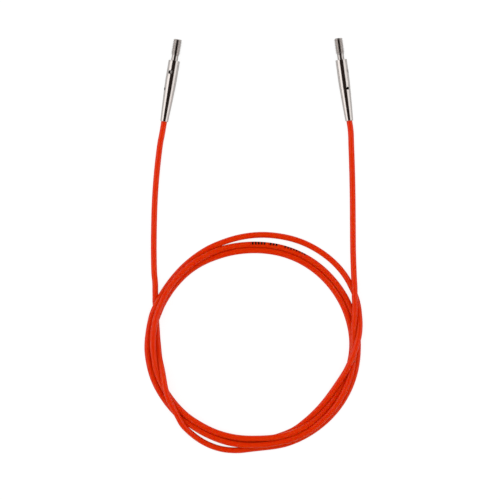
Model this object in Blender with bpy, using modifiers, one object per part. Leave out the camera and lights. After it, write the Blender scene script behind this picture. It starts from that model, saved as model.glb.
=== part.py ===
"""Cable of a circular knitting needle, lying coiled on a flat surface.

A nylon cord is wound three and a half times round; each of its ends is glued into a tapered metal
barrel, and a threaded stud pressed into the barrel takes a screw-on needle tip. The frame has its
origin under the middle of the two connectors, +X towards the right-hand one, +Y towards the studs
and +Z up. The two ends of the cord bend sideways, each about an upright line at half its length.
"""
import math

import bmesh
import bpy
from mathutils import Matrix, Vector

MM = 0.001

# Cord
CORD_DIAMETER = 1.6 * MM
CORD_RADIUS = CORD_DIAMETER / 2
CORD_REST = CORD_RADIUS + 0.01 * MM        # height of the centre line where the cord lies flat
POINT_SPACING = 2.4 * CORD_DIAMETER
MEETING_GAP = 0.3 * MM                     # between faces that touch on the real object
SLIDING_GAP = 0.03 * MM                    # between a piece and the bore that it is glued into
BEND_GAP = 1.0 * MM                        # between the two halves of a tail, room for the bend

# Coil: a ring whose inner and outer edges wander where single turns leave the bundle
COIL_CENTRE = Vector((-0.77, -71.8, 0.0)) * MM
COIL_INNER = 25.2 * MM
COIL_OUTER = 29.2 * MM
COIL_HEIGHT = 3.2 * MM
COIL_ROUNDING = 0.7 * MM
COIL_STEPS = 72
COIL_WANDER = (                            # direction, half width, inner shift, outer shift
    (45.0, 70.0, 0.0 * MM, 2.6 * MM),
    (245.0, 35.0, 0.0 * MM, 1.0 * MM),
    (305.0, 60.0, -1.3 * MM, 0.0 * MM),
)

# Barrel, measured along its axis from the mouth that the cord enters
BARREL_LENGTH = 16.7 * MM
BARREL_RADIUS = 1.54 * MM
BARREL_SHOULDER = 10.5 * MM                # the barrel is straight above this and tapers below it
BARREL_TAPER = (3.0 * MM, 1.22 * MM)       # height and radius where the taper steepens
BARREL_MOUTH_RADIUS = 1.04 * MM
BARREL_CHAMFER = 0.12 * MM
CORD_BORE_DEPTH = 7.2 * MM
STUD_BORE_DEPTH = 5.3 * MM
STUD_BORE_RADIUS = 0.88 * MM
KEY_HOLE_RADIUS = 0.4 * MM
KEY_HOLE_BELOW_TOP = 7.95 * MM
KEY_HOLE_TURN = 45.0                       # degrees round the barrel from the staking mark
STAKE_RADIUS = 0.5 * MM
STAKE_DEPTH = 0.2 * MM
STAKE_BELOW_TOP = 3.3 * MM
TURNED_STEPS = 24

# Stud
NECK_RADIUS = 0.9 * MM
NECK_LENGTH = 1.45 * MM
THREAD_LENGTH = 4.4 * MM
THREAD_ROOT_RADIUS = 0.95 * MM
THREAD_CREST_RADIUS = 1.2 * MM
THREAD_PITCH = 0.45 * MM
RINGS_PER_PITCH = 4
THREAD_STEPS = 16

# Places: mouth of each barrel, its lean from +Y (degrees, positive to the right), and the turn of
# its staking mark from straight up
CONNECTORS = {
    "left": {"mouth": (-25.09, -11.25), "lean": 9.5, "stake_turn": -21.0},
    "right": {"mouth": (25.08, -11.06), "lean": -7.65, "stake_turn": 75.0},
}
BEND_Y = -33.5 * MM

# Routes of the two tails from mouth to coil, in millimetres, at the cord's centre line
TAIL_ROUTES = {
    "left": ((-26.28, -18.0), (-27.1, -25.0), (-27.62, -32.0), (-27.86, -39.0), (-27.93, -46.0),
             (-27.82, -52.0), (-27.52, -58.0)),
    "right": ((25.63, -18.0), (25.88, -25.0), (26.01, -32.0), (26.07, -39.0), (26.13, -46.0),
              (26.28, -51.5), (26.33, -53.5)),
}
STRAIGHT_OUT = 3.0 * MM                    # the cord leaves a barrel straight for this far
SINK_LENGTH = 16.0 * MM                    # and sinks to the surface over this far


def clear_scene():
    for obj in list(bpy.data.objects):
        bpy.data.objects.remove(obj, do_unlink=True)


def new_collection(name):
    collection = bpy.data.collections.new(name)
    bpy.context.scene.collection.children.link(collection)
    return collection


def new_material(name, colour, roughness, metallic):
    material = bpy.data.materials.new(name)
    material.use_nodes = True
    shader = material.node_tree.nodes["Principled BSDF"]
    shader.inputs["Base Color"].default_value = (*colour, 1.0)
    shader.inputs["Roughness"].default_value = roughness
    shader.inputs["Metallic"].default_value = metallic
    return material


def new_empty(collection, name, location, parent=None):
    empty = bpy.data.objects.new(name, None)
    collection.objects.link(empty)
    empty.location = location
    empty.parent = parent
    return empty


def attach(obj, parent):
    """Parent an object that is already in place, keeping its place in the world."""
    bpy.context.view_layer.update()
    world = obj.matrix_world.copy()
    obj.parent = parent
    obj.matrix_parent_inverse = parent.matrix_world.inverted()
    obj.matrix_world = world


def new_object(collection, name, mesh, material=None):
    obj = bpy.data.objects.new(name, mesh)
    collection.objects.link(obj)
    if material:
        mesh.materials.append(material)
    return obj


def turned(collection, name, profile, steps, material):
    """Turn a profile of (radius, height) points, which runs down the outer side, about Z."""
    mesh = bpy.data.meshes.new(name)
    points = [(radius, 0.0, height) for radius, height in profile]
    mesh.from_pydata(points, [(i, i + 1) for i in range(len(points) - 1)], [])
    obj = new_object(collection, name, mesh, material)
    screw = obj.modifiers.new("turn", "SCREW")
    screw.steps = steps
    screw.render_steps = steps
    screw.use_merge_vertices = True
    screw.merge_threshold = 1e-6
    screw.use_smooth_shade = True
    return obj


def applied(obj):
    """Replace an object's mesh by its evaluated one, without modifiers."""
    bpy.context.view_layer.update()
    graph = bpy.context.evaluated_depsgraph_get()
    mesh = bpy.data.meshes.new_from_object(obj.evaluated_get(graph))
    obj.modifiers.clear()
    obj.data = mesh
    return obj


def smooth_path(points, spacing):
    """Read evenly spaced points from a Catmull-Rom curve through the given points."""
    ends = [2 * points[0] - points[1], *points, 2 * points[-1] - points[-2]]
    fine = []
    for a, b, c, d in zip(ends, ends[1:], ends[2:], ends[3:]):
        for step in range(20):
            t = step / 20
            fine.append(0.5 * (2 * b + (c - a) * t + (2 * a - 5 * b + 4 * c - d) * t ** 2
                               + (3 * b - a - 3 * c + d) * t ** 3))
    fine.append(points[-1])
    lengths = [0.0]
    for a, b in zip(fine, fine[1:]):
        lengths.append(lengths[-1] + (b - a).length)
    count = max(2, round(lengths[-1] / spacing) + 1)
    path = []
    i = 0
    for k in range(count):
        target = lengths[-1] * k / (count - 1)
        while i < len(fine) - 2 and lengths[i + 1] < target:
            i += 1
        share = (target - lengths[i]) / (lengths[i + 1] - lengths[i])
        path.append(fine[i].lerp(fine[i + 1], share))
    return path


def tube(collection, name, path, material):
    curve = bpy.data.curves.new(name, "CURVE")
    curve.dimensions = "3D"
    curve.bevel_depth = CORD_RADIUS
    curve.bevel_resolution = 2
    curve.use_fill_caps = True
    spline = curve.splines.new("POLY")
    spline.points.add(len(path) - 1)
    for point, place in zip(spline.points, path):
        point.co = (*place, 1.0)
    spline.use_smooth = True
    curve.materials.append(material)
    obj = bpy.data.objects.new(name, curve)
    collection.objects.link(obj)
    return obj


def connector_matrix(side):
    """Place of a connector whose own axis is +Z from the mouth at its origin."""
    place = CONNECTORS[side]
    x, y = place["mouth"]
    mouth = Vector((x * MM, y * MM, BARREL_RADIUS))
    lean = Matrix.Rotation(math.radians(-place["lean"]), 4, "Z")
    lie_down = Matrix.Rotation(math.radians(-90), 4, "X")
    roll = Matrix.Rotation(math.radians(place["stake_turn"]), 4, "Z")
    return Matrix.Translation(mouth) @ lean @ lie_down @ roll


def barrel(collection, cutters, side, material):
    """Tapered barrel with a bore at each end, a cross hole for the key and a staking mark."""
    top = BARREL_LENGTH
    profile = (
        (0.0, top - STUD_BORE_DEPTH),
        (STUD_BORE_RADIUS, top - STUD_BORE_DEPTH),
        (STUD_BORE_RADIUS, top),
        (BARREL_RADIUS - BARREL_CHAMFER, top),
        (BARREL_RADIUS, top - BARREL_CHAMFER),
        (BARREL_RADIUS, BARREL_SHOULDER),
        (BARREL_TAPER[1], BARREL_TAPER[0]),
        (BARREL_MOUTH_RADIUS, 0.0),
        (CORD_RADIUS + SLIDING_GAP, 0.0),
        (CORD_RADIUS + SLIDING_GAP, CORD_BORE_DEPTH),
        (0.0, CORD_BORE_DEPTH),
    )
    obj = turned(collection, f"{side}_barrel", profile, TURNED_STEPS, material)

    bpy.ops.mesh.primitive_cylinder_add(vertices=12, radius=KEY_HOLE_RADIUS, depth=4 * BARREL_RADIUS)
    hole = bpy.context.object
    hole.name = f"{side}_key_hole_cutter"
    turn = Matrix.Rotation(math.radians(-KEY_HOLE_TURN), 4, "Z")
    across = Matrix.Rotation(math.radians(90), 4, "X")
    hole.matrix_world = Matrix.Translation((0, 0, top - KEY_HOLE_BELOW_TOP)) @ turn @ across

    bpy.ops.mesh.primitive_uv_sphere_add(segments=12, ring_count=8, radius=STAKE_RADIUS)
    stake = bpy.context.object
    stake.name = f"{side}_stake_cutter"
    stake.location = (0, -(BARREL_RADIUS + STAKE_RADIUS - STAKE_DEPTH), top - STAKE_BELOW_TOP)

    for cutter in (hole, stake):
        for home in list(cutter.users_collection):
            home.objects.unlink(cutter)
        cutters.objects.link(cutter)
        cutter.hide_render = True
        cutter.display_type = "WIRE"
        attach(cutter, obj)
        cut = obj.modifiers.new(cutter.name, "BOOLEAN")
        cut.operation = "DIFFERENCE"
        cut.object = cutter
    obj.matrix_world = connector_matrix(side)
    return obj


def thread_radius(angle, height):
    """Radius of the thread: a wave that climbs one pitch a turn and runs out at both ends."""
    phase = (height / THREAD_PITCH - angle / math.tau) % 1.0
    wave = 1.0 - abs(2.0 * phase - 1.0)
    run_out = min(height, THREAD_LENGTH - height) / THREAD_PITCH
    depth = THREAD_CREST_RADIUS - THREAD_ROOT_RADIUS
    return THREAD_ROOT_RADIUS + depth * wave * min(1.0, max(0.0, run_out))


def stud(collection, side, material):
    """Stud with a shank inside the barrel, a neck and a thread, built ring by ring."""
    shank_radius = STUD_BORE_RADIUS - SLIDING_GAP
    shank_bottom = BARREL_LENGTH - STUD_BORE_DEPTH + MEETING_GAP
    neck_bottom = BARREL_LENGTH + SLIDING_GAP
    thread_bottom = BARREL_LENGTH + NECK_LENGTH
    rings = [
        (shank_bottom, lambda angle: shank_radius),
        (neck_bottom, lambda angle: shank_radius),
        (neck_bottom, lambda angle: NECK_RADIUS),
    ]
    count = round(THREAD_LENGTH / THREAD_PITCH * RINGS_PER_PITCH)
    for k in range(count + 1):
        height = THREAD_LENGTH * k / count
        rings.append((thread_bottom + height, lambda angle, h=height: thread_radius(angle, h)))

    shape = bmesh.new()
    loops = []
    for height, radius_at in rings:
        loop = []
        for step in range(THREAD_STEPS):
            angle = math.tau * step / THREAD_STEPS
            radius = radius_at(angle)
            loop.append(shape.verts.new((radius * math.cos(angle), radius * math.sin(angle), height)))
        loops.append(loop)
    for lower, upper in zip(loops, loops[1:]):
        for i in range(THREAD_STEPS):
            j = (i + 1) % THREAD_STEPS
            shape.faces.new((lower[i], lower[j], upper[j], upper[i]))
    shape.faces.new(reversed(loops[0]))
    shape.faces.new(loops[-1])
    mesh = bpy.data.meshes.new(f"{side}_stud")
    shape.to_mesh(mesh)
    shape.free()
    mesh.shade_smooth()
    mesh.set_sharp_from_angle(angle=math.radians(35))
    obj = new_object(collection, f"{side}_stud", mesh, material)
    obj.matrix_world = connector_matrix(side)
    return obj


def tail_path(side):
    """Centre line of a tail, from the bottom of the barrel's bore to the coil."""
    place = connector_matrix(side)
    start = place @ Vector((0, 0, CORD_BORE_DEPTH - MEETING_GAP))
    mouth = place @ Vector((0, 0, 0))
    out = place @ Vector((0, 0, -STRAIGHT_OUT))
    points = [start, mouth, out]
    for x, y in TAIL_ROUTES[side]:
        way = min(1.0, (out.y - y * MM) / SINK_LENGTH)
        drop = way * way * (3 - 2 * way)
        height = BARREL_RADIUS + (CORD_REST - BARREL_RADIUS) * drop
        points.append(Vector((x * MM, y * MM, height)))
    return start, smooth_path(points[1:], POINT_SPACING)


def split_at(path, y):
    """The parts of a downward path above and below a line, and the point on that line."""
    k = next(i for i, point in enumerate(path) if point.y < y)
    crossing = path[k - 1].lerp(path[k], (path[k - 1].y - y) / (path[k - 1].y - path[k].y))
    return path[:k], path[k:], crossing


def tail(collection, side, material):
    """The two halves of a tail, on either side of the line that it bends about."""
    start, path = tail_path(side)
    above, below, bend = split_at(path, BEND_Y)
    gap = Vector((0, BEND_GAP / 2, 0))
    keep = [p for p in above if p.y > BEND_Y + CORD_DIAMETER]
    upper = tube(collection, f"{side}_cord_end", [start, *keep, bend + gap], material)
    keep = [p for p in below if p.y < BEND_Y - CORD_DIAMETER]
    lower = tube(collection, f"{side}_cord_tail", [bend - gap, *keep], material)
    return upper, lower, bend


def wander(direction):
    """How far the coil's inner and outer edges leave their circles in one direction (degrees)."""
    inner = outer = 0.0
    for centre, half_width, inner_shift, outer_shift in COIL_WANDER:
        off = abs((direction - centre + 180) % 360 - 180)
        if off < half_width:
            swell = 0.5 + 0.5 * math.cos(math.pi * off / half_width)
            inner += inner_shift * swell
            outer += outer_shift * swell
    return inner, outer


def coil(collection, material):
    """One ring of the outer shape of the coiled turns, turned and then pushed to its edges."""
    a, b, h, c = COIL_INNER, COIL_OUTER, COIL_HEIGHT, COIL_ROUNDING
    profile = (
        (b - c, h), (b, h - c), (b, c), (b - c, 0.0), (a + c, 0.0), (a, c), (a, h - c), (a + c, h),
        (b - c, h),
    )
    obj = turned(collection, "cord_coil", profile, COIL_STEPS, material)
    applied(obj)
    shape = bmesh.new()
    shape.from_mesh(obj.data)
    bmesh.ops.remove_doubles(shape, verts=shape.verts, dist=1e-6)
    for vert in shape.verts:
        radius = math.hypot(vert.co.x, vert.co.y)
        inner, outer = wander(math.degrees(math.atan2(vert.co.y, vert.co.x)))
        share = (radius - a) / (b - a)
        pushed = radius + inner * (1 - share) + outer * share
        vert.co.x *= pushed / radius
        vert.co.y *= pushed / radius
    shape.to_mesh(obj.data)
    shape.free()
    obj.data.shade_smooth()
    obj.location = COIL_CENTRE
    return obj


def main():
    clear_scene()
    parts = new_collection("circular_needle_cable")
    cutters = new_collection("cutters")
    nylon = new_material("orange_red_nylon", (0.73, 0.045, 0.007), 0.3, 0.0)
    nickel = new_material("bright_nickel", (0.75, 0.73, 0.70), 0.15, 1.0)

    root = new_empty(parts, "root", COIL_CENTRE)
    attach(coil(parts, nylon), root)
    for side in CONNECTORS:
        upper, lower, bend = tail(parts, side, nylon)
        pivot = new_empty(parts, f"{side}_end", bend)
        attach(pivot, root)
        attach(lower, root)
        for piece in (upper, barrel(parts, cutters, side, nickel), stud(parts, side, nickel)):
            attach(piece, pivot)


main()
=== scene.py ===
"""Looks of a coiled circular-needle cable: translucent nylon cord, nickel barrels and threaded studs."""
import math

import bmesh
import bpy
import numpy as np
from mathutils import Matrix, Vector


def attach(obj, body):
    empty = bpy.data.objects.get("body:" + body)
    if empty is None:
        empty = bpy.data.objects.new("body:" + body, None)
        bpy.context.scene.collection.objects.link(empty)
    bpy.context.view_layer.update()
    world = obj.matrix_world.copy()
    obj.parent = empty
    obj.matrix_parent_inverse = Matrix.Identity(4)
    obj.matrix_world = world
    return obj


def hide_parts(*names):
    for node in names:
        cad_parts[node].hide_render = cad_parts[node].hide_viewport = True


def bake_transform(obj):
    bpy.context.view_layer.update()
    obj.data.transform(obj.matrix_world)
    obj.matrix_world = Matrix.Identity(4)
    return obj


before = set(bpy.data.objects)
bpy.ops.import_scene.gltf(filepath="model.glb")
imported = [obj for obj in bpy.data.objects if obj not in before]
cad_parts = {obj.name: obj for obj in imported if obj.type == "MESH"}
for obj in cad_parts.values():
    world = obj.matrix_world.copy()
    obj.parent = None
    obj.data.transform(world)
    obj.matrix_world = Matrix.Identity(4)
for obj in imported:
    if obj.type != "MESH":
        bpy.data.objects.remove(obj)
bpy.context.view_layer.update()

MM = 0.001

# ---------------------------------------------------------------- sizes, in millimetres unless said
CORD_DIAMETER = 1.6
CORD_RADIUS = CORD_DIAMETER / 2
COIL_CENTRE = np.array([-0.77, -71.8])
SLIDING_GAP = 0.03                  # between a piece and the bore that it is glued into

# Barrel, measured along its axis from the mouth that the cord enters; its top holds the stud
BARREL_LENGTH = 16.7
BARREL_RADIUS = 1.54
BARREL_SHOULDER = 10.5              # the barrel is straight above this and tapers below it
BARREL_TAPER = (3.0, 1.22)          # height and radius where the taper steepens
BARREL_MOUTH_RADIUS = 1.04
BARREL_CHAMFER = 0.12
BARREL_SIDES = 96
SHOULDER_EASING = 1.2               # how far each way a bend in the taper is spread along the barrel
MOUTH_ROUNDING = 0.06
CORD_BORE_RADIUS = CORD_RADIUS + SLIDING_GAP
CORD_BORE_EDGE = (0.02, 0.03)       # how wide and how high the bevel at its mouth is
CORD_BORE_DEPTH = 7.2
STUD_BORE_DEPTH = 5.3
STUD_BORE_RADIUS = 0.91
STUD_BORE_EDGE = 0.05               # bevel at its edge
BORE_FLOOR_CENTRE = 0.02            # radius of the small disc that closes a bore's floor
KEY_HOLE_RADIUS = 0.4
KEY_HOLE_BELOW_TOP = 7.95
KEY_HOLE_TURN = 45.0                # degrees round the barrel from the staking mark
KEY_HOLE_SIDES = 40
STAKE_RADIUS = 0.5
STAKE_DEPTH = 0.2
STAKE_BELOW_TOP = 3.3
STAKE_HEIGHT = BARREL_LENGTH - STAKE_BELOW_TOP
STAKE_REACH = 1.0                   # no height further than this from the mark is dented
STAKE_LIP = 0.035                   # how high the metal is raised round the mark
STAKE_LIP_AT, STAKE_LIP_WIDTH = 1.12, 0.16      # in mark radii
STAKE_SHADE_WIDTH = 0.3             # in mark radii, how softly the mark's painted shade ends

# Stud
SHANK_RADIUS = STUD_BORE_RADIUS - SLIDING_GAP
SHANK_LENGTH = 2.0                  # the part of the shank that is drawn, down inside the bore
FACE_STEP = 0.02                    # the shank widens to the neck this near to the barrel's face
NECK_RADIUS = 0.9
NECK_LENGTH = 1.45
THREAD_LENGTH = 4.4
THREAD_ROOT_RADIUS = 0.93
THREAD_CREST_RADIUS = 1.2
THREAD_PITCH = 0.45
THREAD_ROOT_SHARE, THREAD_FLANK_SHARE = 0.12, 0.70      # of half the pitch; the crest has the rest
THREAD_FADE_TURNS = 1.2             # turns over which the thread rises from the neck
THREAD_TIP_CHAMFER = 0.25
STUD_SIDES = 64
RINGS_PER_TURN = 16

CONNECTORS = {
    "left": {"mouth": (-25.09, -11.25), "lean": 9.5, "stake_turn": -21.0},
    "right": {"mouth": (25.08, -11.06), "lean": -7.65, "stake_turn": 75.0},
}
TAIL_ROUTES = {
    "left": ((-26.28, -18.0), (-27.1, -25.0), (-27.62, -32.0), (-27.86, -39.0), (-27.93, -46.0),
             (-27.82, -52.0)),
    "right": ((25.63, -18.0), (25.88, -25.0), (26.01, -32.0), (26.07, -39.0), (26.13, -46.0),
              (26.28, -51.5)),
}
STRAIGHT_OUT = 3.0                  # how far a tail keeps the direction of its barrel
RUN_DOWN = 12.0                     # length over which a tail comes down from its barrel to the floor
INSIDE_BARREL = 2.0                 # how far the visible cord is carried on into a barrel

# Where, round the winding, the cord reaches each distance from the coil's centre: (degrees, mm).
# The cord winds anticlockwise from the left tail to the right one.
LANES = (
    (149, 31.2), (155, 29.4), (162, 27.9), (170, 26.9), (200, 26.2), (209, 26.95), (221, 27.9),
    (230, 29.05), (235, 29.4), (252, 29.6), (260, 29.05), (270, 28.1), (290, 28.2), (345, 28.4),
    (360, 28.2), (410, 27.65), (460, 27.2), (470, 27.45), (540, 27.3), (575, 26.75), (590, 26.25),
    (620, 25.5), (630, 25.35), (660, 26.2), (670, 26.15), (690, 26.25), (720, 26.75), (760, 26.3),
    (795, 25.95), (805, 25.8), (830, 25.9), (850, 26.55), (870, 26.95), (882, 27.3), (915, 27.35),
    (940, 26.75), (980, 26.25), (1000, 25.75), (1010, 25.6), (1017, 25.5), (1024, 25.15), (1060, 25.45),
    (1065, 26.0), (1080, 27.65), (1090, 28.95), (1095, 29.5), (1100, 30.1), (1115, 31.0), (1140, 30.9),
    (1160, 30.15), (1200, 28.65), (1220, 28.4), (1265, 28.8), (1280, 28.65), (1290, 28.25),
    (1300, 27.9), (1315, 27.35), (1330, 27.3), (1362, 27.2), (1385, 27.6), (1405, 27.65), (1420, 27.4),
    (1440, 27.1), (1449, 27.5), (1459, 28.95), (1465, 30.1),
)
LEFT_SEAM, RIGHT_SEAM = 160.0, 1430.0    # where the tails' meshes meet the coil's, under other turns
PRINTED_TURNS = (420.0, 452.0)           # degrees between which the cord carries a row of dashes
TURN_STEP = 1.0                          # degrees between the winding's points
AIM_STEP = 12                            # points into the winding at which a joining tail is aimed
TAIL_TURN = 20                           # degrees by which the turn angle runs on over a tail
PATH_STEP = 0.6                          # between the cord's points
TUBE_SIDES = 24

# How the cord is settled. It starts lifted where it crosses over other turns:
# (middle of the rise in degrees, half of its width in degrees, height in mm).
RISES = (
    (214, 40, 11.0),        # the left tail's turn climbs over the bundle
    (575, 150, 7.0),        # the second turn rides over the third, left and below
    (1076, 26, 6.0),        # the stray turn climbs over it on the right
)
FIRST_LAYER_TO = 180        # degrees of winding before the turns start to lie on each other
UNDER_TO = 178              # degrees up to which the left tail lies on the floor, under the bundle
COMES_OFF_AT = 5.5          # height at which the right tail comes off the top
SETTLING_ROUNDS, QUICK_ROUNDS = 500, 60
SINK_STEP, SINK_EASING = 0.06, 0.7      # mm sunk in the first round, share of it lost by the last
HOMING = 0.15               # share of its sideways drift that a point gives back in a round
SIDEWAYS_EASING, HEIGHT_EASING = 4, 8   # passes of averaging in a round
SEARCH_EVERY = 8            # rounds between searches for turns near each other
SEARCH_WITHIN = 1.5         # diameters
POINTS_SKIPPED = 6          # nearer than this along the cord, two points belong to one turn
PARTING_PASSES = 3
PARTING = 0.35              # share of an overlap that each of two turns gives way in a pass
PARTING_SHARE = np.array([0.4, 0.4, 1.0])       # crossings part upwards more than sideways

# ---------------------------------------------------------------- camera
VIEW_CENTRE = Vector((-1.83, -46.07, 0.0)) * MM
VIEW_WIDTH = 135.5 * MM
VIEW_PLANE_HEIGHT = 1.5 * MM             # height at which the view is VIEW_WIDTH wide
CAMERA_LENS = 200.0
CAMERA_SENSOR = 36.0


def make_camera():
    data = bpy.data.cameras.new("camera")
    data.lens = CAMERA_LENS
    data.sensor_width = CAMERA_SENSOR
    camera = bpy.data.objects.new("camera", data)
    bpy.context.scene.collection.objects.link(camera)
    height = VIEW_WIDTH * CAMERA_LENS / CAMERA_SENSOR
    camera.location = VIEW_CENTRE + Vector((0, 0, height + VIEW_PLANE_HEIGHT))
    bpy.context.scene.camera = camera


# ---------------------------------------------------------------- cord route
def connector_place(side):
    """Mouth of a barrel and the direction of its axis, seen from above, in millimetres."""
    place = CONNECTORS[side]
    lean = math.radians(place["lean"])
    return np.array(place["mouth"]), np.array([math.sin(lean), math.cos(lean)])


def through(points, steps=24):
    """Catmull-Rom curve through points."""
    points = np.asarray(points, float)
    ends = np.vstack([2 * points[0] - points[1], points, 2 * points[-1] - points[-2]])
    t = (np.arange(steps) / steps)[:, None]
    pieces = []
    for a, b, c, d in zip(ends, ends[1:], ends[2:], ends[3:]):
        pieces.append(0.5 * (2 * b + (c - a) * t + (2 * a - 5 * b + 4 * c - d) * t ** 2
                             + (3 * b - a - 3 * c + d) * t ** 3))
    return np.vstack([*pieces, points[-1:]])


def lane_radius(turn):
    """Distance from the coil's centre at each turn angle, eased smoothly between the lanes."""
    at, radius = np.array(LANES, float).T
    span = np.diff(at)
    slope = np.diff(radius) / span
    bend = np.empty_like(radius)
    bend[0], bend[-1] = slope[0], slope[-1]
    bend[1:-1] = (slope[:-1] * span[1:] + slope[1:] * span[:-1]) / (span[1:] + span[:-1])
    k = np.clip(np.searchsorted(at, turn) - 1, 0, len(at) - 2)
    t = (turn - at[k]) / span[k]
    return (radius[k] * (1 + 2 * t) * (1 - t) ** 2 + bend[k] * span[k] * t * (1 - t) ** 2
            + radius[k + 1] * t * t * (3 - 2 * t) + bend[k + 1] * span[k] * t * t * (t - 1))


def flat_route():
    """The cord's route seen from above, evenly spaced, with its turn angle at each point."""
    turn = np.arange(LANES[0][0], LANES[-1][0] + TURN_STEP / 2, TURN_STEP)
    radius = lane_radius(turn)
    angle = np.radians(turn)
    winding = COIL_CENTRE + np.stack([radius * np.cos(angle), radius * np.sin(angle)], axis=1)

    tails = {}
    for side, join in (("left", winding[[0, AIM_STEP]]), ("right", winding[[-1, -1 - AIM_STEP]])):
        mouth, out = connector_place(side)
        start = [mouth + INSIDE_BARREL * out, mouth, mouth - STRAIGHT_OUT * out]
        line = through([*start, *TAIL_ROUTES[side], *join])
        stop = int(np.argmin(np.linalg.norm(line - join[0], axis=1)))
        tails[side] = line[:stop]
    line = np.vstack([tails["left"], winding, tails["right"][::-1]])
    before = turn[0] - TAIL_TURN * np.linspace(1, 0, len(tails["left"]), endpoint=False)
    after = turn[-1] + TAIL_TURN * np.linspace(1, 0, len(tails["right"]), endpoint=False)[::-1]
    turns = np.concatenate([before, turn, after])
    along = np.concatenate([[0], np.cumsum(np.linalg.norm(np.diff(line, axis=0), axis=1))])
    at = np.linspace(0, along[-1], round(along[-1] / PATH_STEP) + 1)
    even = np.stack([np.interp(at, along, line[:, k]) for k in range(2)], axis=1)
    return even, np.interp(at, along, turns)


def swell(turn, centre, half_width, height):
    """A smooth rise to the given height at one turn angle, and nothing beyond its half width."""
    off = np.abs(turn - centre) / half_width
    return height * np.where(off < 1, 0.5 + 0.5 * np.cos(math.pi * np.minimum(off, 1)), 0)


def eased(values, rounds):
    """Average each value with its neighbours, as a stiff cord does with its bends."""
    for _ in range(rounds):
        values = np.concatenate([
            values[:1], 0.5 * values[1:-1] + 0.25 * (values[:-2] + values[2:]), values[-1:]])
    return values


def settle(flat, turn, rounds):
    """Let the cord sink onto the floor and onto itself, keeping its order at each crossing."""
    floor = CORD_RADIUS
    height = floor + CORD_DIAMETER * np.maximum(0, (turn - FIRST_LAYER_TO) / 360)
    for centre, half_width, rise in RISES:
        height += swell(turn, centre, half_width, rise)
    height[turn < UNDER_TO] = floor
    height[turn > LANES[-1][0]] = COMES_OFF_AT
    line = np.column_stack([flat, height])
    place = np.arange(len(line)) * PATH_STEP
    from_mouth = np.minimum(place, place[::-1]) - INSIDE_BARREL
    held = from_mouth < STRAIGHT_OUT
    lowered = from_mouth < STRAIGHT_OUT + RUN_DOWN
    sunk = np.clip((from_mouth[lowered] - STRAIGHT_OUT) / RUN_DOWN, 0, 1)
    run_down = floor + (BARREL_RADIUS - floor) * (0.5 + 0.5 * np.cos(math.pi * sunk))
    for i in range(rounds):
        line[:, 2] -= SINK_STEP * (1 - SINK_EASING * i / rounds)
        line[:, :2] += HOMING * (flat - line[:, :2])
        line[:, :2] = flat + eased(line[:, :2] - flat, SIDEWAYS_EASING)
        line[:, 2] = eased(line[:, 2], HEIGHT_EASING)
        line[held, :2] = flat[held]
        line[lowered, 2] = run_down
        if i % SEARCH_EVERY == 0:
            apart = ((line[:, None, :2] - line[None, :, :2]) ** 2).sum(2)
            a, b = np.where(np.triu(apart < (SEARCH_WITHIN * CORD_DIAMETER) ** 2, POINTS_SKIPPED))
        for _ in range(PARTING_PASSES):
            between = line[a] - line[b]
            distance = np.linalg.norm(between, axis=1)
            touch = distance < CORD_DIAMETER
            p, q = a[touch], b[touch]
            gap = CORD_DIAMETER - distance[touch]
            push = (PARTING * gap / np.maximum(distance[touch], 1e-6))[:, None] * between[touch]
            push *= PARTING_SHARE
            moved, count = np.zeros_like(line), np.zeros(len(line))
            np.add.at(moved, p, push)
            np.add.at(moved, q, -push)
            np.add.at(count, p, 1)
            np.add.at(count, q, 1)
            line += moved * (np.minimum(count, 2) / np.maximum(count, 1))[:, None]
            line[:, 2] = np.maximum(line[:, 2], floor)
    return line


# ---------------------------------------------------------------- mesh helpers
SHARP_ANGLE = math.radians(40)
DRILLED_SHARP_ANGLE = math.radians(35)


def new_piece(name, mesh):
    piece = bpy.data.objects.new(name, mesh)
    bpy.context.scene.collection.objects.link(piece)
    return piece


def round_ring(angles, radii, height):
    """Points round the Z axis at one height, from millimetres to metres."""
    return np.column_stack(
        [radii * np.cos(angles), radii * np.sin(angles), np.full(len(angles), height)]) * MM


def ringed_mesh(name, rings):
    """Mesh through rings of points, each ring an array of (x, y, z), with flat ends."""
    sides = len(rings[0])
    points = np.vstack(rings)
    faces = []
    for r in range(len(rings) - 1):
        for k in range(sides):
            n = (k + 1) % sides
            faces.append((r * sides + k, r * sides + n, (r + 1) * sides + n, (r + 1) * sides + k))
    last = (len(rings) - 1) * sides
    faces.append(tuple(reversed(range(sides))))
    faces.append(tuple(range(last, last + sides)))
    mesh = bpy.data.meshes.new(name)
    mesh.from_pydata(points.tolist(), [], faces)
    mesh.validate()
    mesh.shade_smooth()
    mesh.set_sharp_from_angle(angle=SHARP_ANGLE)
    return mesh


def mark_points(mesh, label, values):
    """Give each point of a mesh a number that its material reads."""
    attribute = mesh.attributes.new(label, "FLOAT", "POINT")
    attribute.data.foreach_set("value", values.astype(np.float32))


def cord_piece(name, line, along):
    """A round tube along a line in millimetres, which knows its place along and round the cord."""
    ahead = np.gradient(line, axis=0)
    ahead /= np.linalg.norm(ahead, axis=1)[:, None]
    outward = np.cross(ahead, (0, 0, 1))
    outward /= np.linalg.norm(outward, axis=1)[:, None]
    upward = np.cross(outward, ahead)
    around = -math.tau * np.arange(TUBE_SIDES) / TUBE_SIDES + math.pi
    rings = [
        (centre + CORD_RADIUS * (np.sin(around)[:, None] * out + np.cos(around)[:, None] * up)) * MM
        for centre, out, up in zip(line, outward, upward)
    ]
    piece = new_piece(name, ringed_mesh(name, rings))
    mark_points(piece.data, "along", np.repeat(along * MM, TUBE_SIDES))
    mark_points(piece.data, "around", np.tile(around, len(line)))
    return piece


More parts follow.
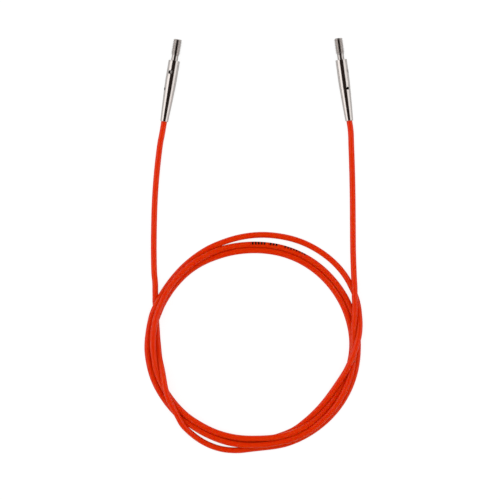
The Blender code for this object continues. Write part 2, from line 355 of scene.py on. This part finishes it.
def make_cord():
    """The cord as three meshes: two tails and the coil."""
    flat, turn = flat_route()
    line = settle(flat, turn, SETTLING_ROUNDS)
    along = np.concatenate([[0], np.cumsum(np.linalg.norm(np.diff(line, axis=0), axis=1))])
    first = int(np.searchsorted(turn, LEFT_SEAM))
    second = int(np.searchsorted(turn, RIGHT_SEAM))
    runs = {
        "cord_left_tail": slice(0, first + 1),
        "cord_coiled_turns": slice(first, second + 1),
        "cord_right_tail": slice(second, len(line)),
    }
    pieces = {name: cord_piece(name, line[run], along[run]) for name, run in runs.items()}
    for name, run in runs.items():
        piece = pieces[name]
        if name == "cord_coiled_turns":
            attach(piece, "root")
            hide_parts("cord_coil")
        else:
            side = "left" if "left" in name else "right"
            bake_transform(piece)
            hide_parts(f"{side}_cord_tail", f"{side}_cord_end")
    print_from = float(np.interp(PRINTED_TURNS[0], turn, along)) * MM
    print_to = float(np.interp(PRINTED_TURNS[1], turn, along)) * MM
    return list(pieces.values()), print_from, print_to


# ---------------------------------------------------------------- connectors
def connector_matrix(side):
    """Place of a connector whose own axis is +Z from the mouth at its origin, in metres."""
    place = CONNECTORS[side]
    x, y = place["mouth"]
    lean = Matrix.Rotation(math.radians(-place["lean"]), 4, "Z")
    lie_down = Matrix.Rotation(math.radians(-90), 4, "X")
    roll = Matrix.Rotation(math.radians(place["stake_turn"]), 4, "Z")
    return Matrix.Translation(Vector((x, y, BARREL_RADIUS)) * MM) @ lean @ lie_down @ roll


def barrel_outside(height):
    """Outer radius of a barrel at a height above its mouth, with an easy bend into the taper."""
    heights = (0.0, BARREL_TAPER[0], BARREL_SHOULDER, BARREL_LENGTH)
    radii = (BARREL_MOUTH_RADIUS, BARREL_TAPER[1], BARREL_RADIUS, BARREL_RADIUS)
    spread = SHOULDER_EASING * np.linspace(-1, 1, 9)
    return float(np.mean(np.interp(np.clip(height + spread, 0, BARREL_LENGTH), heights, radii)))


def barrel_profile():
    """Rows of (radius, height) from the stud bore's floor round the outside to the cord's bore."""
    top = BARREL_LENGTH
    rows = [(BORE_FLOOR_CENTRE, top - STUD_BORE_DEPTH), (STUD_BORE_RADIUS, top - STUD_BORE_DEPTH)]
    rows += [(STUD_BORE_RADIUS, top - STUD_BORE_EDGE), (STUD_BORE_RADIUS + STUD_BORE_EDGE, top)]
    rim = barrel_outside(top)
    for k in range(7):
        turn = math.radians(15 * k)
        rows.append((rim - BARREL_CHAMFER * (1 - math.sin(turn)),
                     top - BARREL_CHAMFER * (1 - math.cos(turn))))
    heights = [
        *np.linspace(top - 0.3, STAKE_HEIGHT + 0.9, 6),
        *np.linspace(STAKE_HEIGHT + 0.8, STAKE_HEIGHT - 0.8, 33),       # closer rows at the staking mark
        *np.linspace(STAKE_HEIGHT - 1.0, 0.4, 36),
        0.2,
        MOUTH_ROUNDING,
    ]
    rows += [(barrel_outside(h), h) for h in heights]
    for k in range(1, 5):
        turn = math.radians(22.5 * k)
        rows.append((BARREL_MOUTH_RADIUS - MOUTH_ROUNDING * (1 - math.cos(turn)),
                     MOUTH_ROUNDING * (1 - math.sin(turn))))
    rows += [(CORD_BORE_RADIUS + CORD_BORE_EDGE[0], 0.0), (CORD_BORE_RADIUS, CORD_BORE_EDGE[1])]
    rows += [(CORD_BORE_RADIUS, CORD_BORE_DEPTH), (BORE_FLOOR_CENTRE, CORD_BORE_DEPTH)]
    return rows


def from_stake(turned, radius, height):
    """Distance from the middle of the staking mark along the barrel's skin, in mark radii."""
    return np.hypot(turned * radius, height - STAKE_HEIGHT) / STAKE_RADIUS


def mark_hollows(mesh):
    """Mark the punched dimple's bottom for painted shade, and give the drilled hole's wall the mesh's
    second material, which is painted shade.
    """
    x, y, z = np.array([vertex.co[:] for vertex in mesh.vertices]).T / MM
    radius = np.hypot(x, y)
    # painted shade: the dimple is darkened out to its lip, the darkening fading at its edge
    shade = np.clip((STAKE_LIP_AT - from_stake(np.arctan2(x, -y), radius, z)) / STAKE_SHADE_WIDTH, 0, 1)
    mark_points(mesh, "dimple_painted_shade", np.where(radius > BARREL_MOUTH_RADIUS, shade, 0.0))
    turn = math.radians(KEY_HOLE_TURN)
    along = Vector((-math.sin(turn), -math.cos(turn), 0.0))
    centre = Vector((0, 0, BARREL_LENGTH - KEY_HOLE_BELOW_TOP)) * MM
    # the hole's wall faces get the second material, which is painted shade
    for face in mesh.polygons:
        away = face.center - centre
        away -= along * away.dot(along)
        near = away.length < 1.1 * KEY_HOLE_RADIUS * MM
        faces_across = abs(face.normal.dot(along)) < 0.3
        face.material_index = 1 if near and faces_across else 0


def lay_down(mesh, side):
    """Keep each point's place on its own connector for the materials, then put the mesh in place."""
    own = np.array([vertex.co[:] for vertex in mesh.vertices], np.float32)
    attribute = mesh.attributes.new("own_place", "FLOAT_VECTOR", "POINT")
    attribute.data.foreach_set("vector", own.ravel())
    mesh.transform(connector_matrix(side))


def make_barrel(side):
    """Turned barrel with a punched staking mark and a drilled hole for the key."""
    angles = math.tau * np.arange(BARREL_SIDES) / BARREL_SIDES
    turned = (angles + math.pi) % math.tau - math.pi        # round from the staking mark
    rings = []
    for radius, height in reversed(barrel_profile()):
        skin = radius
        if radius > BARREL_MOUTH_RADIUS and abs(height - STAKE_HEIGHT) < STAKE_REACH:
            off = from_stake(turned, radius, height)
            lip = STAKE_LIP * np.exp(-((off - STAKE_LIP_AT) / STAKE_LIP_WIDTH) ** 2)
            skin = radius - STAKE_DEPTH * np.maximum(0, 1 - off ** 3) + lip
        rings.append(round_ring(angles - math.pi / 2, skin, height))
    barrel = new_piece(f"{side}_nickel_barrel", ringed_mesh(f"{side}_nickel_barrel", rings))

    bpy.ops.mesh.primitive_cylinder_add(
        vertices=KEY_HOLE_SIDES, radius=KEY_HOLE_RADIUS * MM, depth=4 * BARREL_RADIUS * MM)
    drill = bpy.context.object
    turn = Matrix.Rotation(math.radians(-KEY_HOLE_TURN), 4, "Z")
    across = Matrix.Rotation(math.radians(90), 4, "X")
    lift = Matrix.Translation((0, 0, (BARREL_LENGTH - KEY_HOLE_BELOW_TOP) * MM))
    drill.matrix_world = lift @ turn @ across
    cut = barrel.modifiers.new("key_hole", "BOOLEAN")
    cut.operation = "DIFFERENCE"
    cut.object = drill
    bpy.context.view_layer.update()
    graph = bpy.context.evaluated_depsgraph_get()
    mesh = bpy.data.meshes.new_from_object(barrel.evaluated_get(graph))
    barrel.modifiers.clear()
    barrel.data = mesh
    bpy.data.objects.remove(drill, do_unlink=True)
    mesh.shade_smooth()
    mesh.set_sharp_from_angle(angle=DRILLED_SHARP_ANGLE)
    mark_hollows(mesh)
    lay_down(mesh, side)
    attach(barrel, f"{side}_end")
    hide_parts(f"{side}_barrel")
    return barrel


def thread_radii(angles, height):
    """Radii of a thread with flat crests that rises over its first turn and has a bevelled tip."""
    phase = (height / THREAD_PITCH - angles / math.tau) % 1.0
    ridge = np.clip((1.0 - abs(2.0 * phase - 1.0) - THREAD_ROOT_SHARE) / THREAD_FLANK_SHARE, 0, 1)
    fade = min(1.0, height / (THREAD_FADE_TURNS * THREAD_PITCH))
    radii = THREAD_ROOT_RADIUS + (THREAD_CREST_RADIUS - THREAD_ROOT_RADIUS) * ridge * fade
    tip = THREAD_CREST_RADIUS - THREAD_TIP_CHAMFER + (THREAD_LENGTH - height)
    return np.minimum(radii, tip)


def make_stud(side):
    """Shank, neck and helical thread, ring by ring."""
    angles = math.tau * np.arange(STUD_SIDES) / STUD_SIDES
    top = BARREL_LENGTH
    rows = [(SHANK_RADIUS, top - SHANK_LENGTH), (SHANK_RADIUS, top - FACE_STEP)]
    neck_top = top + NECK_LENGTH - 4 * FACE_STEP        # just short of the thread's first ring
    rows += [(NECK_RADIUS, height) for height in np.linspace(top + FACE_STEP, neck_top, 7)]
    rings = [round_ring(angles, radius, height) for radius, height in rows]
    count = round(THREAD_LENGTH / THREAD_PITCH * RINGS_PER_TURN)
    for height in np.linspace(0, THREAD_LENGTH, count + 1):
        rings.append(round_ring(angles, thread_radii(angles, height), top + NECK_LENGTH + height))
    mesh = ringed_mesh(f"{side}_threaded_stud", rings)
    stud = new_piece(f"{side}_threaded_stud", mesh)
    reach = np.array([math.hypot(v.co.x, v.co.y) / MM for v in mesh.vertices])
    # painted shade: the nickel is darkened towards the bottom of the thread's groove, by this share
    root = np.clip((THREAD_CREST_RADIUS - reach) / (THREAD_CREST_RADIUS - THREAD_ROOT_RADIUS), 0, 1)
    mark_points(mesh, "root", root)
    lay_down(mesh, side)
    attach(stud, f"{side}_end")
    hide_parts(f"{side}_stud")
    return stud


# ---------------------------------------------------------------- materials
class Nodes:
    """Short names for building a material's node tree."""

    def __init__(self, name):
        self.material = bpy.data.materials.new(name)
        self.material.use_nodes = True
        self.tree = self.material.node_tree
        self.shader = self.tree.nodes["Principled BSDF"]

    def add(self, kind, **values):
        node = self.tree.nodes.new(kind)
        for key, value in values.items():
            if key in node.inputs.keys():
                node.inputs[key].default_value = value
            else:
                setattr(node, key, value)
        return node

    def link(self, source, target):
        self.tree.links.new(source, target)

    def math(self, operation, first, second=0.0):
        node = self.tree.nodes.new("ShaderNodeMath")
        node.operation = operation
        for socket, value in zip(node.inputs, (first, second)):
            if isinstance(value, (int, float)):
                socket.default_value = value
            else:
                self.link(value, socket)
        return node.outputs[0]

    def away_from(self, value, centre, half_width):
        """1 where a value is further than half_width from centre, else 0."""
        distance = self.math("ABSOLUTE", self.math("SUBTRACT", value, centre))
        return self.math("GREATER_THAN", distance, half_width)

    def mix(self, share, first, second):
        node = self.tree.nodes.new("ShaderNodeMix")
        node.data_type = "RGBA"
        for name, value in (("Factor", share), ("A", first), ("B", second)):
            socket = next(s for s in node.inputs if s.name == name and s.enabled)
            if isinstance(value, (tuple, float, int)):
                socket.default_value = value
            else:
                self.link(value, socket)
        return next(s for s in node.outputs if s.enabled)

    def attribute(self, name):
        return self.add("ShaderNodeAttribute", attribute_name=name).outputs["Fac"]

    def own_place(self):
        """A point's place on its own connector, as lay_down kept it."""
        return self.add("ShaderNodeAttribute", attribute_name="own_place").outputs["Vector"]

    def noise(self, scale, detail, vector=None):
        node = self.add("ShaderNodeTexNoise", Scale=scale, Detail=detail)
        if vector is None:
            vector = self.add("ShaderNodeTexCoord").outputs["Object"]
        self.link(vector, node.inputs["Vector"])
        return node.outputs["Fac"]

    def ramp(self, value, low, high, start, end):
        node = self.add("ShaderNodeMapRange")
        self.link(value, node.inputs["Value"])
        for name, number in (("From Min", low), ("From Max", high), ("To Min", start), ("To Max", end)):
            node.inputs[name].default_value = number
        return node.outputs["Result"]

    def bump(self, height, strength, distance):
        node = self.add("ShaderNodeBump", Strength=strength, Distance=distance)
        self.link(height, node.inputs["Height"])
        self.link(node.outputs[0], self.shader.inputs["Normal"])


NYLON_DEEP = (0.84, 0.029, 0.001, 1)
NYLON_PALE = (0.88, 0.056, 0.002, 1)
NYLON_CLOUD = (0.86, 0.039, 0.0015, 1)
PRINT_INK = (0.004, 0.003, 0.003, 1)
DASH_PITCH, DASH_SHARE = 0.8 * MM, 0.66
PRINT_SPACES = ((0.47, 0.05), (0.71, 0.025))    # middle and half width, as shares of the row
PRINT_AROUND = (1.05, 0.50)         # radians round the cord where the row starts and ends: it twists
PRINT_HALF_HEIGHT = 0.65            # radians
NICKEL_DARK = (0.69, 0.645, 0.62, 1)
NICKEL_PALE = (0.75, 0.70, 0.675, 1)
# painted shade for the nickel's hollows: the staking dimple and the thread's grooves
NICKEL_PAINTED_SHADE = (0.10, 0.09, 0.085, 1)
# painted shade inside the drilled key hole: two near-black tones mottled together
HOLE_PAINTED_SHADE = (0.010, 0.008, 0.007, 1)
HOLE_PAINTED_SHADE_PALE = (0.035, 0.028, 0.024, 1)


def nylon_material(print_from, print_to):
    """Translucent orange-red nylon with faint lengthwise drawing lines and a few printed dashes."""
    n = Nodes("orange_red_nylon")
    along, around = n.attribute("along"), n.attribute("around")
    place = n.add("ShaderNodeCombineXYZ")
    n.link(n.math("MULTIPLY", along, 60.0), place.inputs["X"])
    n.link(n.math("MULTIPLY", n.math("SINE", around), 2.0), place.inputs["Y"])
    n.link(n.math("MULTIPLY", n.math("COSINE", around), 2.0), place.inputs["Z"])
    streaks = n.noise(2.2, 4.0, place.outputs[0])
    cloud = n.noise(140.0, 2.0)
    shade = n.mix(n.ramp(streaks, 0.3, 0.7, 0.0, 1.0), NYLON_DEEP, NYLON_PALE)
    shade = n.mix(n.ramp(cloud, 0.35, 0.65, 0.0, 0.5), shade, NYLON_CLOUD)

    reach = n.ramp(along, print_from, print_to, 0.0, 1.0)
    beside = n.math("SUBTRACT", around, n.ramp(reach, 0.0, 1.0, *PRINT_AROUND))
    ink = n.math("MULTIPLY", n.math("GREATER_THAN", along, print_from),
                 n.math("LESS_THAN", along, print_to))
    for centre, half_width in PRINT_SPACES:
        ink = n.math("MULTIPLY", ink, n.away_from(reach, centre, half_width))
    dash = n.math("LESS_THAN", n.math("FRACT", n.math("MULTIPLY", along, 1 / DASH_PITCH)), DASH_SHARE)
    band = n.math("LESS_THAN", n.math("ABSOLUTE", beside), PRINT_HALF_HEIGHT)
    start_fade = n.ramp(reach, 0.3, 0.55, 0.85, 1.0)
    side_fade = n.ramp(beside, -0.7, -0.2, 0.5, 1.0)
    for share in (dash, band, start_fade, side_fade):
        ink = n.math("MULTIPLY", ink, share)
    n.link(n.mix(ink, shade, PRINT_INK), n.shader.inputs["Base Color"])
    n.link(n.ramp(streaks, 0.3, 0.7, 0.24, 0.36), n.shader.inputs["Roughness"])
    n.bump(streaks, 0.12, 0.02 * MM)
    n.shader.inputs["IOR"].default_value = 1.53
    n.shader.inputs["Specular IOR Level"].default_value = 0.2
    n.shader.inputs["Subsurface Weight"].default_value = 1.0
    n.shader.inputs["Subsurface Radius"].default_value = (1.0, 0.5, 0.2)
    n.shader.inputs["Subsurface Scale"].default_value = 1.2 * MM
    return n.material


def nickel_material(name, painted_shade_where, strength):
    """Bright nickel plate with fine turning marks and soft mottling, darkened by painted shade in its
    hollows.
    """
    n = Nodes(name)
    where = n.own_place()
    stretched = n.add("ShaderNodeMapping", vector_type="POINT")
    n.link(where, stretched.inputs["Vector"])
    stretched.inputs["Scale"].default_value = (120.0, 120.0, 9000.0)
    marks = n.noise(1.0, 2.0, stretched.outputs[0])
    mottle = n.noise(900.0, 4.0, where)
    tone = n.mix(n.ramp(mottle, 0.35, 0.65, 0.0, 1.0), NICKEL_DARK, NICKEL_PALE)
    # painted shade: the base colour goes towards a dark tone where an attribute marks a hollow
    tone = n.mix(n.math("MULTIPLY", n.attribute(painted_shade_where), strength), tone, NICKEL_PAINTED_SHADE)
    n.link(tone, n.shader.inputs["Base Color"])
    n.shader.inputs["Metallic"].default_value = 1.0
    n.link(n.ramp(marks, 0.3, 0.7, 0.11, 0.16), n.shader.inputs["Roughness"])
    n.bump(marks, 0.02, 0.01 * MM)
    return n.material


def hole_material():
    """Wall of the drilled key hole, painted near-black as the shade deep inside it, with a faint mottle.
    """
    n = Nodes("hole_wall_painted_shade")
    # painted shade: near-black, with a faint noise mottle
    shade_mottle = n.noise(2500.0, 3.0, n.own_place())
    tone = n.mix(n.ramp(shade_mottle, 0.3, 0.7, 0.0, 1.0), HOLE_PAINTED_SHADE, HOLE_PAINTED_SHADE_PALE)
    n.link(tone, n.shader.inputs["Base Color"])
    n.shader.inputs["Roughness"].default_value = 0.8
    n.shader.inputs["Specular IOR Level"].default_value = 0.1
    return n.material


def matte_material(name, colour):
    n = Nodes(name)
    n.shader.inputs["Base Color"].default_value = (*colour, 1)
    n.shader.inputs["Roughness"].default_value = 0.9
    n.shader.inputs["Specular IOR Level"].default_value = 0.0
    return n.material


# ---------------------------------------------------------------- set
# Lengths are in metres here, and angles in degrees.
SOFTBOX_DISTANCE = 1.0              # from the object to each side light
SOFTBOX_RADIANCE = {-1: 0.88, 1: 0.68}      # the left one is the brighter
SOFTBOX_ELEVATION = (8.0, 54.0)     # of its lower and upper edge
SOFTBOX_ALONG = (-0.45, 0.8)        # where it starts and ends along Y
SOFTBOX_COLOUR = (1.0, 0.975, 0.95)
FILL_SIZE = FILL_HEIGHT = 1.6
FILL_RADIANCE = 0.9
FLAG_HEIGHT = 0.36
FLAG_HALF_ANGLE = 36.0              # half of the dark stripe that a round piece mirrors
FLAG_LENGTH = 5.0
FLAG_SHIFT = 0.008                  # towards +X
FLAG_COLOUR = (0.040, 0.027, 0.023)
FLOOR_SIZE = 12.0
FLOOR_COLOUR = (0.8, 0.8, 0.8)      # as the object sees it
FLOOR_GLOW, FLOOR_FAINT = 0.85, 0.25        # as the camera sees it: even light, and faint real light
FLOOR_BELOW = 0.02 * MM
SURROUND = 0.42                     # strength of the white world, which the camera sees at 1


def sheet(name, width, length, colour):
    """A flat matte sheet facing up."""
    mesh = bpy.data.meshes.new(name)
    shape = bmesh.new()
    bmesh.ops.create_grid(shape, x_segments=1, y_segments=1, size=0.5)
    shape.to_mesh(mesh)
    shape.free()
    mesh.transform(Matrix.Diagonal((width, length, 1.0, 1.0)))
    mesh.materials.append(matte_material(name, colour))
    return new_piece(name, mesh)


def shadowless_white(material):
    """The floor looks evenly white, as under a product cut out on white, yet reflects as pale grey."""
    tree = material.node_tree
    shader = tree.nodes["Principled BSDF"]
    output = tree.nodes["Material Output"]
    glow = tree.nodes.new("ShaderNodeEmission")
    glow.inputs["Strength"].default_value = FLOOR_GLOW
    both = tree.nodes.new("ShaderNodeAddShader")
    pick = tree.nodes.new("ShaderNodeMixShader")
    ray = tree.nodes.new("ShaderNodeLightPath")
    faint = tree.nodes.new("ShaderNodeBsdfDiffuse")
    faint.inputs["Color"].default_value = (FLOOR_FAINT, FLOOR_FAINT, FLOOR_FAINT, 1)
    tree.links.new(glow.outputs[0], both.inputs[0])
    tree.links.new(faint.outputs[0], both.inputs[1])
    tree.links.new(ray.outputs["Is Camera Ray"], pick.inputs[0])
    tree.links.new(shader.outputs[0], pick.inputs[1])
    tree.links.new(both.outputs[0], pick.inputs[2])
    tree.links.new(pick.outputs[0], output.inputs["Surface"])


def make_set():
    """White floor, softboxes to the left and right, and a black flag overhead, which stripes the metal."""
    scene = bpy.context.scene
    scene.view_settings.view_transform = "Standard"
    floor = sheet("floor", FLOOR_SIZE, FLOOR_SIZE, FLOOR_COLOUR)
    floor.location.z = -FLOOR_BELOW
    shadowless_white(floor.data.materials[0])

    flag_width = 2 * FLAG_HEIGHT * math.tan(math.radians(FLAG_HALF_ANGLE))
    flag = sheet("overhead_flag", flag_width, FLAG_LENGTH, FLAG_COLOUR)
    flag.location = (VIEW_CENTRE.x + FLAG_SHIFT, VIEW_CENTRE.y, FLAG_HEIGHT)
    flag.visible_camera = flag.visible_diffuse = flag.visible_shadow = False

    low, high = (SOFTBOX_DISTANCE * math.tan(math.radians(a)) for a in SOFTBOX_ELEVATION)
    near, far = SOFTBOX_ALONG
    for side in (-1, 1):
        data = bpy.data.lights.new("softbox", "AREA")
        data.shape = "RECTANGLE"
        data.size, data.size_y = far - near, high - low
        data.energy = SOFTBOX_RADIANCE[side] * math.pi * data.size * data.size_y
        data.color = SOFTBOX_COLOUR
        box = bpy.data.objects.new("softbox", data)
        scene.collection.objects.link(box)
        box.location = (VIEW_CENTRE.x + side * SOFTBOX_DISTANCE, (near + far) / 2, (low + high) / 2)
        box.rotation_euler = (math.radians(90), 0, math.radians(90 * side))
        box.visible_camera = False

    data = bpy.data.lights.new("overhead_fill", "AREA")
    data.size = FILL_SIZE
    data.energy = FILL_RADIANCE * math.pi * data.size ** 2
    fill = bpy.data.objects.new("overhead_fill", data)
    scene.collection.objects.link(fill)
    fill.location = (VIEW_CENTRE.x, VIEW_CENTRE.y, FILL_HEIGHT)
    fill.visible_camera = fill.visible_glossy = False

    world = bpy.data.worlds.new("pale_surround")
    scene.world = world
    world.use_nodes = True
    tree = world.node_tree
    background = tree.nodes["Background"]
    background.inputs["Color"].default_value = (1, 1, 1, 1)
    ray = tree.nodes.new("ShaderNodeLightPath")
    level = tree.nodes.new("ShaderNodeMapRange")
    tree.links.new(ray.outputs["Is Camera Ray"], level.inputs["Value"])
    level.inputs["To Min"].default_value = SURROUND
    level.inputs["To Max"].default_value = 1.0
    tree.links.new(level.outputs[0], background.inputs["Strength"])


def main():
    make_camera()
    cord_pieces, print_from, print_to = make_cord()
    nylon = nylon_material(print_from, print_to)
    for piece in cord_pieces:
        piece.data.materials.append(nylon)
    # the staking dimple gets painted shade
    barrel_nickel = nickel_material("bright_nickel", "dimple_painted_shade", 0.85)
    # the thread's grooves get a little painted shade
    thread_nickel = nickel_material("threaded_nickel", "root", 0.25)
    hole_wall = hole_material()
    for side in CONNECTORS:
        barrel, stud = make_barrel(side), make_stud(side)
        barrel.data.materials.append(barrel_nickel)
        # the drilled hole's wall: painted shade
        barrel.data.materials.append(hole_wall)
        stud.data.materials.append(thread_nickel)
    make_set()


main()
